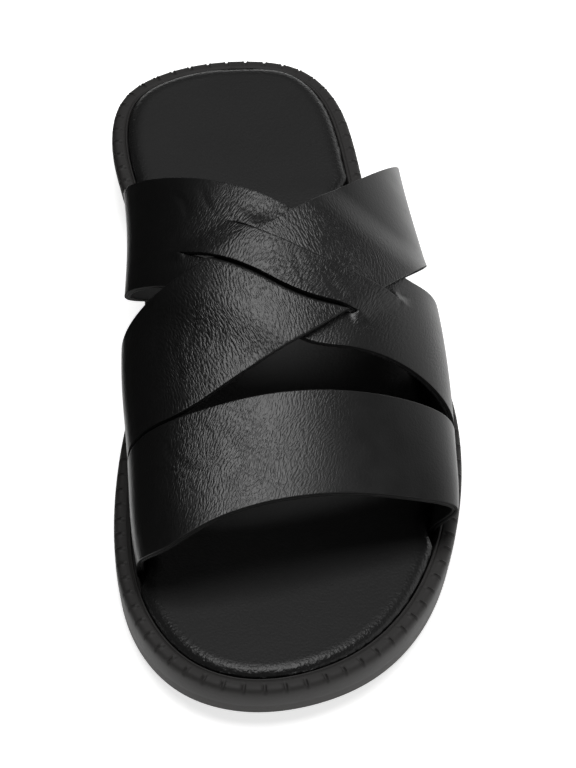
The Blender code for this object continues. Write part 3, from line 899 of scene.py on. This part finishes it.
def plate(upper, lower, top, bottom, along, across, rows=0, bulge=None, gather=False):
    """A layer of the sole as a bmesh, from an upper to a lower outline.

    Top and bottom give its heights. It has rows round its wall, moved out by bulge, and gather draws the
    columns together at both sides.
    """
    bm = bmesh.new()
    bmesh.ops.create_grid(bm, x_segments=across, y_segments=along, size=0.5)
    level = bm.verts.layers.float.new("level")
    for vert in bm.verts:
        vert[level] = 1.0
    for item in bmesh.ops.extrude_face_region(bm, geom=bm.faces[:])["geom"]:
        if isinstance(item, bmesh.types.BMVert):
            item[level] = 0.0
    upper_rows, lower_rows = row_edges(upper, along), row_edges(lower, along)
    for vert in bm.verts:
        rows_here, height = (lower_rows, bottom) if vert[level] < 0.5 else (upper_rows, top)
        y, medial, lateral = rows_here[round((vert.co.y + 0.5) * along)]
        share = vert.co.x + 0.5
        if rows or gather:
            share = 0.5 - 0.5 * np.cos(np.pi * share)
        vert.co = (medial + (lateral - medial) * share, y, height(station_of(y), share))
    bmesh.ops.recalc_face_normals(bm, faces=bm.faces[:])
    if rows:
        upright = [e for e in bm.edges if abs(e.verts[0][level] - e.verts[1][level]) > 0.5]
        bmesh.ops.subdivide_edges(bm, edges=upright, cuts=rows)
        bm.normal_update()
        for vert in bm.verts:
            if 0.001 < vert[level] < 0.999:
                vert.co += Vector((vert.normal.x, vert.normal.y, 0)).normalized() * bulge(vert[level])
    return bm


def corner_edges(bm, level):
    """Edges between the wall and the top, level 1, or the bottom, level -1."""
    found = []
    for edge in bm.edges:
        if len(edge.link_faces) == 2:
            low, high = sorted(face.normal.z * level for face in edge.link_faces)
            if low < 0.5 < high:
                found.append(edge)
    return found


def round_edges(bm, edges, radius):
    """Rounds these edges, and stops where two roundings would meet."""
    sizes = {"offset": radius, "segments": 3, "profile": 0.5, "clamp_overlap": True}
    bmesh.ops.bevel(bm, geom=edges, affect="EDGES", material=-1, **sizes)


def groove_cutter(station, edge):
    """A cross groove with drafted sides that stops short of the edge of the tread."""
    y = y_of(station)
    reach = [across_at(edge, y + side * GROOVE_MOUTH / 2) for side in (-1, 1)]
    medial = max(pair[0] for pair in reach) + GROOVE_MARGIN
    lateral = min(pair[1] for pair in reach) - GROOVE_MARGIN
    floor = max(float(ground(station + side * GROOVE_MOUTH / 2 / SOLE_LENGTH)) for side in (-1, 1))
    bm = bmesh.new()
    bmesh.ops.create_cube(bm, size=1.0)
    for vert in bm.verts:
        top = vert.co.z > 0
        width = GROOVE_FLOOR if top else GROOVE_MOUTH
        draft = (GROOVE_MOUTH - GROOVE_FLOOR) / 2 if top else 0.0
        x = lateral - draft if vert.co.x > 0 else medial + draft
        vert.co = (x, y + vert.co.y * width, floor + GROOVE_DEPTH if top else GROOVE_START)
    bmesh.ops.recalc_face_normals(bm, faces=bm.faces[:])
    uprights = [e for e in bm.edges if abs(e.verts[0].co.z - e.verts[1].co.z) > MM]
    round_edges(bm, uprights, GROOVE_CORNER)
    return bm


class SandalStraps(bpy.types.PropertyGroup):
    leather: FloatProperty(
        name="Leather", description="Thickness of the outer leather", default=1.2 * MM, unit="LENGTH"
    )
    lining: FloatProperty(
        name="Lining", description="Thickness of the lining", default=0.8 * MM, unit="LENGTH"
    )
    ease: FloatProperty(
        name="Edge Ease", description="Rounding of the cut edges", default=0.25 * MM, unit="LENGTH"
    )
    front_gap: FloatProperty(
        name="Front Slit Gap", description="How far the front slit opens", default=0.8 * MM, unit="LENGTH"
    )
    rear_gap: FloatProperty(
        name="Rear Slit Gap", description="How far the rear slit opens", default=0.7 * MM, unit="LENGTH"
    )
    creasing: FloatProperty(
        name="Creasing", description="Strength of the hand laid creases", default=1.0, subtype="FACTOR"
    )


class SandalSole(bpy.types.PropertyGroup):
    notches: IntProperty(name="Rim Notches", description="Notches round the rim", default=104)
    notch_depth: FloatProperty(
        name="Notch Depth", description="Depth of a rim notch", default=0.60 * MM, unit="LENGTH"
    )
    footbed_edge: FloatProperty(
        name="Footbed Edge", description="Width of the rolled edge", default=5.5 * MM, unit="LENGTH"
    )
    footbed_drop: FloatProperty(
        name="Footbed Drop", description="Height of the rolled edge", default=2.9 * MM, unit="LENGTH"
    )
    outsole_edge: FloatProperty(
        name="Outsole Edge", description="Bevel of the tread's edge", default=0.8 * MM, unit="LENGTH"
    )


class SandalColours(bpy.types.PropertyGroup):
    leather: FloatVectorProperty(
        name="Leather", description="Strap leather", default=linear("#090909"), subtype="COLOR"
    )
    # Painted sheen: the lighter grey laid on the strap leather's wrinkle crests where they catch light
    leather_painted_sheen: FloatVectorProperty(
        name="Painted Leather Sheen",
        description="Raised wrinkles of the strap leather",
        default=linear("#121212"),
        subtype="COLOR",
    )
    lining: FloatVectorProperty(
        name="Lining", description="Strap lining", default=linear("#0e0e0e"), subtype="COLOR"
    )
    edge: FloatVectorProperty(
        name="Edge", description="Paint on the cut edges", default=linear("#0c0c0c"), subtype="COLOR"
    )
    footbed: FloatVectorProperty(
        name="Footbed", description="Footbed leather", default=linear("#191919"), subtype="COLOR"
    )
    rim: FloatVectorProperty(name="Rim", description="Rim rubber", default=linear("#171514"), subtype="COLOR")
    midsole: FloatVectorProperty(
        name="Midsole", description="Midsole foam", default=linear("#161413"), subtype="COLOR"
    )
    outsole: FloatVectorProperty(
        name="Outsole", description="Outsole rubber", default=linear("#171412"), subtype="COLOR"
    )


class SandalStudio(bpy.types.PropertyGroup):
    horizon: FloatProperty(
        name="Horizon", description="Brightness of the surroundings near the ground", default=0.95
    )
    zenith: FloatProperty(name="Zenith", description="Brightness of the surroundings overhead", default=0.08)
    top_lamp: FloatProperty(
        name="Top Lamp", description="Power of the soft lamp overhead", default=18.0, unit="POWER"
    )
    floor_glow: FloatProperty(name="Floor Glow", description="Light from the backlit floor", default=0.70)


class SANDAL_OT_outsole(bpy.types.Operator):
    """Builds the moulded outsole with its cross grooves"""

    bl_idname = "sandal.outsole"
    bl_label = "Outsole"

    def execute(self, context):
        sole, colours = context.scene.sandal_sole, context.scene.sandal_colours
        tread = outline(lean=1.0)
        bm = plate(
            outline(lean=0.5), tread, lambda s, a: outsole_top(s)[0], lambda s, a: float(ground(s)), 110, 14
        )
        round_edges(bm, corner_edges(bm, -1), sole.outsole_edge)
        rubber = moulded_rubber("tread_rubber", colours.outsole, 0.60, 0.6)
        made = finish_mesh("outsole_tread", bm, rubber, SHARP_CORNER)
        cutters = []
        for station in HEEL_GROOVES + FOREFOOT_GROOVES:
            cutter = finish_mesh("groove", groove_cutter(station, tread), rubber, SHARP_CORNER)
            step = made.modifiers.new("groove", "BOOLEAN")
            step.operation, step.solver, step.object = "DIFFERENCE", "EXACT", cutter
            cutters.append(cutter)
        graph = context.evaluated_depsgraph_get()
        cut = bpy.data.meshes.new_from_object(made.evaluated_get(graph))
        made.modifiers.clear()
        made.data = cut
        for cutter in cutters:
            bpy.data.objects.remove(cutter, do_unlink=True)
        place(made, "outsole", "outsole")
        return {"FINISHED"}


class SANDAL_OT_midsole(bpy.types.Operator):
    """Builds the foam layer between the outsole and the rim"""

    bl_idname = "sandal.midsole"
    bl_label = "Midsole"

    def execute(self, context):
        bm = plate(
            outline(MIDSOLE_INSET, lean=0.1),
            outline(lean=0.5),
            lambda s, a: rim_height(s)[0] - WELT_HEIGHT,
            lambda s, a: outsole_top(s)[0],
            140,
            4,
            rows=5,
            bulge=lambda level: MIDSOLE_BULGE * np.sin(np.pi * level) ** 0.5,
        )
        foam = moulded_rubber("foam_rubber", context.scene.sandal_colours.midsole, 0.58, 0.8)
        place(finish_mesh("midsole_wall", bm, foam, SHARP_CORNER), "midsole", "midsole")
        return {"FINISHED"}


class SANDAL_OT_welt(bpy.types.Operator):
    """Builds the moulded rim with its notches and its inner bead"""

    bl_idname = "sandal.welt"
    bl_label = "Rim"

    def execute(self, context):
        sole, colours = context.scene.sandal_sole, context.scene.sandal_colours
        count, rows = sole.notches * NOTCH_STEPS, len(WELT_PROFILE)
        rings = [outline(inset * MM, count=count) for inset, _ in WELT_PROFILE]
        inward = rings[-1] - rings[0]
        inward /= np.linalg.norm(inward, axis=1)[:, None]
        base = rim_height(station_of(rings[WELT_CREST][:, 1]))
        bm = bmesh.new()
        bmesh.ops.create_grid(bm, x_segments=count, y_segments=rows - 1, size=0.5)
        for vert in bm.verts:
            turn = round((vert.co.x + 0.5) * count) % count
            row = round((vert.co.y + 0.5) * (rows - 1))
            inset, height = WELT_PROFILE[row]
            cut = NOTCH_SHAPE.get(turn % NOTCH_STEPS, 0.0) * sole.notch_depth
            cut *= float(np.interp(inset, *zip(*NOTCH_REACH)))
            upright = max(0.0, 1 - inset / NOTCH_WALL)
            point = rings[row][turn] + inward[turn] * cut * upright
            vert.co = (point[0], point[1], base[turn] + height * MM - cut * min(1.0, inset / NOTCH_TOP))
        bmesh.ops.remove_doubles(bm, verts=bm.verts[:], dist=1e-7)
        bmesh.ops.bridge_loops(bm, edges=[e for e in bm.edges if e.is_boundary])
        bmesh.ops.recalc_face_normals(bm, faces=bm.faces[:])
        made = finish_mesh("welt_rim", bm, moulded_rubber("rim_rubber", colours.rim, 0.68, 0.7), SHARP_SOFT)
        place(made, "rim", "welt")
        return {"FINISHED"}


class SANDAL_OT_footbed(bpy.types.Operator):
    """Builds the leather covered footbed with its rolled edge"""

    bl_idname = "sandal.footbed"
    bl_label = "Footbed"

    def execute(self, context):
        sole = context.scene.sandal_sole
        edge = outline(RIM_WIDTH + FOOTBED_GAP, STRAP_ROOM)
        bm = plate(
            edge,
            edge,
            lambda s, a: float(footbed_top(s, a)[0]),
            lambda s, a: rim_height(s)[0] - WELT_HEIGHT + CLEARANCE,
            200,
            46,
            gather=True,
        )
        rolled = bm.verts.layers.float.new("edge")
        for vert in bm.verts:
            off = np.min(np.hypot(edge[:, 0] - vert.co.x, edge[:, 1] - vert.co.y)) / sole.footbed_edge
            near = max(0.0, 1 - off)
            vert[rolled] = min(1.0, ROLL_GLOSS * near)
            if vert.co.z > rim_height(station_of(vert.co.y))[0]:
                vert.co.z -= sole.footbed_drop * (1 - (1 - near**ROLL_CURVE) ** 0.5)
        made = finish_mesh("footbed_pad", bm, footbed_leather(), SHARP_SOFT)
        place(made, "footbed", "insole")
        return {"FINISHED"}


class SANDAL_OT_front_strap(bpy.types.Operator):
    """Builds the strap over the toes, leather and lining"""

    bl_idname = "sandal.front_strap"
    bl_label = "Front Strap"

    def execute(self, context):
        make_strap("front_strap", FRONT_STRAP, FRONT_CREASES, 0.5, (64, 24))
        return {"FINISHED"}


class SANDAL_OT_cross_straps(bpy.types.Operator):
    """Builds the two crossing straps, woven through the slits of the medial one"""

    bl_idname = "sandal.cross_straps"
    bl_label = "Crossing Straps"

    def execute(self, context):
        make_strap("medial_strap", MEDIAL_STRAP, MEDIAL_CREASES, 0.5, (72, 36), woven=True)
        make_strap("lateral_strap", LATERAL_STRAP, LATERAL_CREASES, -0.2, (72, 36), lift=lateral_lift)
        return {"FINISHED"}


def stage_sheet(name, material, corner):
    """A flat sheet for the stage. Corner gives its corners from -0.5 or 0.5 each way."""
    bm = bmesh.new()
    bmesh.ops.create_grid(bm, x_segments=1, y_segments=1, size=0.5)
    for vert in bm.verts:
        vert.co = corner(vert.co.x, vert.co.y)
    return add_mesh(name, bm, material)


class SANDAL_OT_studio(bpy.types.Operator):
    """Sets up the pale floor, the soft lamp, the surroundings and the camera"""

    bl_idname = "sandal.studio"
    bl_label = "Studio"

    def execute(self, context):
        scene, studio = context.scene, context.scene.sandal_studio
        paper, tree, shader = new_material("white_paper")
        glow = {"Emission Color": (1, 1, 1, 1), "Emission Strength": studio.floor_glow}
        white = (*linear("#f4f4f3"), 1)
        feed(tree, shader, {"Base Color": white, "Roughness": 0.9, "Specular IOR Level": 0.1, **glow})
        floor = stage_sheet("studio_floor", paper, lambda x, y: (x * FLOOR_SIZE, y * FLOOR_SIZE, 0))
        felt, tree, shader = new_material("black_felt")
        feed(tree, shader, {"Base Color": (*linear("#080808"), 1), "Roughness": 1.0})
        flag = stage_sheet(
            "black_flag",
            felt,
            lambda x, y: (FLAG_X, FLAG_Y + x * FLAG_LENGTH, (y + 0.5) * FLAG_HEIGHT + FLAG_FOOT),
        )
        flag.visible_camera = flag.visible_diffuse = flag.visible_shadow = False
        world = bpy.data.worlds.new("studio_sky")
        world.use_nodes = True
        # Bright low down and on the little toe side, dark overhead and behind the black flag
        facing = node(world.node_tree, "TexCoord", {}, "Generated")
        rise = node(world.node_tree, "VectorMath", {0: facing, 1: SKY_UP}, "Value", operation="DOT_PRODUCT")
        levels = {"From Min": -0.05, "From Max": 0.40, "To Min": studio.horizon, "To Max": studio.zenith}
        shade = node(world.node_tree, "MapRange", {"Value": rise, **levels}, interpolation_type="SMOOTHSTEP")
        sky = world.node_tree.nodes["Background"]
        feed(world.node_tree, sky, {"Color": (1, 1, 1, 1), "Strength": shade})
        scene.world = world
        data = bpy.data.lights.new("top_lamp", "AREA")
        data.shape, data.size, data.energy = "SQUARE", LAMP_SIZE, studio.top_lamp
        lamp = bpy.data.objects.new("top_lamp", data)
        lamp.location = LAMP_PLACE
        aim = (Vector(LAMP_PLACE) - Vector(LAMP_AIM)).normalized()
        side = Vector((0, 1, 0)).cross(aim).normalized()
        lamp.rotation_euler = Matrix((side, aim.cross(side), aim)).transposed().to_euler()
        scene.collection.objects.link(lamp)
        data = bpy.data.cameras.new("camera")
        data.lens, data.clip_start, data.clip_end = CAMERA_LENS, 0.05, 50
        camera = bpy.data.objects.new("camera", data)
        turn = Matrix((CAMERA_RIGHT, CAMERA_UP, CAMERA_BACK)).transposed()
        camera.matrix_world = Matrix.Translation(CAMERA_PLACE) @ turn.to_4x4()
        scene.collection.objects.link(camera)
        scene.camera = camera
        scene.view_settings.view_transform = "Standard"
        return {"FINISHED"}


BUILD_STEPS = ("outsole", "midsole", "welt", "footbed", "front_strap", "cross_straps", "studio")


class SANDAL_PT_panel(bpy.types.Panel):
    """Lists the pieces and their sizes and colours"""

    bl_label = "Cross Strap Sandal"
    bl_idname = "SANDAL_PT_panel"
    bl_space_type = "VIEW_3D"
    bl_region_type = "UI"
    bl_category = "Sandal"

    def draw(self, context):
        for step in BUILD_STEPS:
            self.layout.operator(f"sandal.{step}")
        for group in ("sandal_straps", "sandal_sole", "sandal_colours", "sandal_studio"):
            values = getattr(context.scene, group)
            box = self.layout.box()
            for name in values.bl_rna.properties.keys():
                if name not in ("rna_type", "name"):
                    box.prop(values, name)


GROUPS = {
    "sandal_straps": SandalStraps,
    "sandal_sole": SandalSole,
    "sandal_colours": SandalColours,
    "sandal_studio": SandalStudio,
}
CLASSES = (
    *GROUPS.values(),
    SANDAL_OT_outsole,
    SANDAL_OT_midsole,
    SANDAL_OT_welt,
    SANDAL_OT_footbed,
    SANDAL_OT_front_strap,
    SANDAL_OT_cross_straps,
    SANDAL_OT_studio,
    SANDAL_PT_panel,
)


def register():
    for item in CLASSES:
        bpy.utils.register_class(item)
    for name, group in GROUPS.items():
        setattr(bpy.types.Scene, name, PointerProperty(type=group))


def unregister():
    for name in GROUPS:
        delattr(bpy.types.Scene, name)
    for item in reversed(CLASSES):
        bpy.utils.unregister_class(item)


def main():
    register()
    for step in BUILD_STEPS:
        getattr(bpy.ops.sandal, step)()


if __name__ == "__main__":
    main()
